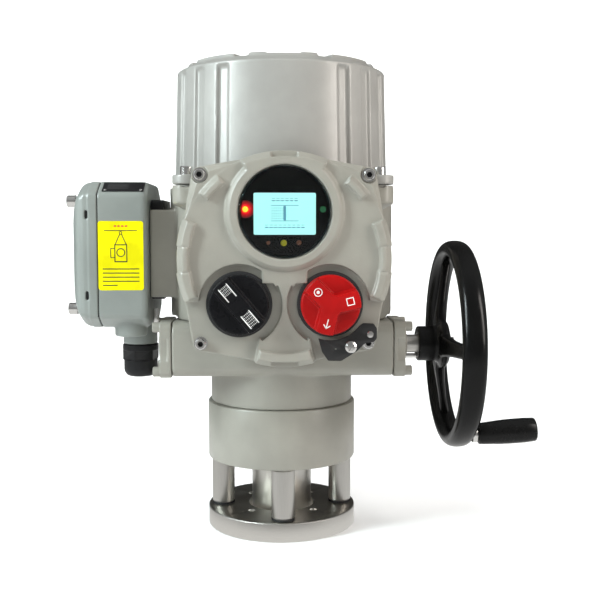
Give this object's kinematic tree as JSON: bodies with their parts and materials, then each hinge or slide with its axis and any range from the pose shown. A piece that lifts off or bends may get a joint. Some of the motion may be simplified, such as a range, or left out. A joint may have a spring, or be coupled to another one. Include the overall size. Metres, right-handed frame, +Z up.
{
  "type": "motorized valve actuator",
  "caption": "Multi-turn motorized valve actuator: flanged base on pillars, worm gearbox with side handwheel, round control panel with display and knobs, bell cover and side terminal box.",
  "frame": {"origin": "centre of the valve mounting face, on the output axis, at the underside of the base plate", "axes": "+Z up along the output axis, -Y towards the control panel's viewer, +X towards the handwheel, -X towards the terminal box"},
  "size_m": [0.5198, 0.301, 0.5385],
  "materials": {
    "stainless": "satin",
    "steel": "satin",
    "bronze": "satin",
    "copper_winding": "satin",
    "housing_paint": "satin",
    "bell_paint": "satin",
    "rubber": "matte",
    "display_glass": "polished",
    "lcd": "gloss",
    "black_plastic": "satin",
    "black_gloss": "gloss",
    "knob_black": "satin",
    "knob_red": "satin",
    "lever_grey": "satin",
    "circuit_board": "satin",
    "terminal_plastic": "matte",
    "nameplate_black": "satin",
    "label_yellow": "satin"
  },
  "bodies": {
    "housing": {"base_plate": "stainless", "pillar_right": "stainless", "pillar_rear": "stainless", "pillar_left": "stainless", "pillar_front": "stainless", "thrust_base": "housing_paint", "sleeve_bearing_lower": "steel", "sleeve_bearing_upper": "steel", "worm_bearing_left": "steel", "worm_bearing_right": "steel", "gear_housing": "housing_paint", "left_end_cover": "housing_paint", "right_end_cover": "housing_paint", "stop_pin": "stainless", "control_housing": "housing_paint", "bell_cover": "bell_paint", "bell_gasket": "rubber", "bell_screw_1": "stainless", "bell_screw_2": "stainless", "bell_screw_3": "stainless", "bell_screw_4": "stainless", "motor_stator": "copper_winding", "front_cover": "housing_paint", "front_gasket": "rubber", "front_screw_1": "stainless", "front_screw_2": "stainless", "front_screw_3": "stainless", "front_screw_4": "stainless", "display_mask": "black_plastic", "lcd_screen": "lcd", "display_window": "display_glass", "control_board": "circuit_board", "open_close_knob_collar": "rubber", "mode_knob_collar": "rubber", "lock_lever_screw": "stainless", "terminal_box": "housing_paint", "terminal_cover": "housing_paint", "terminal_gasket": "rubber", "terminal_screw_1": "stainless", "terminal_screw_2": "stainless", "terminal_screw_3": "stainless", "terminal_screw_4": "stainless", "connector_flange": "black_plastic", "terminal_block": "terminal_plastic", "nameplate": "nameplate_black", "yellow_label": "label_yellow", "gland_body": "black_plastic", "gland_nut": "black_plastic", "blanking_plug": "steel"},
    "output": {"drive_sleeve": "stainless", "worm_wheel": "bronze", "stem_nut": "bronze"},
    "handwheel": {"handwheel": "black_gloss", "worm_shaft": "steel", "grip_spindle": "steel"},
    "grip": {"handle_grip": "black_plastic"},
    "motor_rotor": {"motor_rotor": "steel"},
    "open_close_knob": {"open_close_knob": "knob_black"},
    "mode_knob": {"mode_knob": "knob_red"},
    "lock_lever": {"lock_lever": "lever_grey"}
  },
  "joints": [
    {"name": "handwheel_spin", "type": "hinge", "parent": "housing", "child": "handwheel", "pos_m": [0, -0.05, 0.22], "axis": [1, 0, 0], "continuous": true},
    {"name": "output_spin", "type": "hinge", "parent": "housing", "child": "output", "pos_m": [0, 0, 0], "axis": [0, 0, 1], "continuous": true},
    {"name": "motor_spin", "type": "hinge", "parent": "housing", "child": "motor_rotor", "pos_m": [-0.062, -0.05, 0], "axis": [0, 0, 1], "continuous": true},
    {"name": "grip_spin", "type": "hinge", "parent": "handwheel", "child": "grip", "pos_m": [0.197, -0.10094, 0.1242], "axis": [0.9976, 0, 0.0698], "continuous": true},
    {"name": "open_close_knob_turn", "type": "hinge", "parent": "housing", "child": "open_close_knob", "pos_m": [-0.047, -0.15, 0.274], "axis": [0, -1, 0], "range_deg": [-90, 90], "stiffness_Nm_per_rad": 0.1},
    {"name": "mode_knob_turn", "type": "hinge", "parent": "housing", "child": "mode_knob", "pos_m": [0.047, -0.15, 0.274], "axis": [0, -1, 0], "range_deg": [0, 240]},
    {"name": "lock_lever_turn", "type": "hinge", "parent": "housing", "child": "lock_lever", "pos_m": [0.0678, -0.155, 0.2305], "axis": [0, -1, 0], "range_deg": [-6, 8]}
  ],
  "couplings": [
    {"joint": "output_spin", "follows": "handwheel_spin", "ratio": 0.025},
    {"joint": "motor_spin", "follows": "handwheel_spin", "ratio": -1}
  ]
}
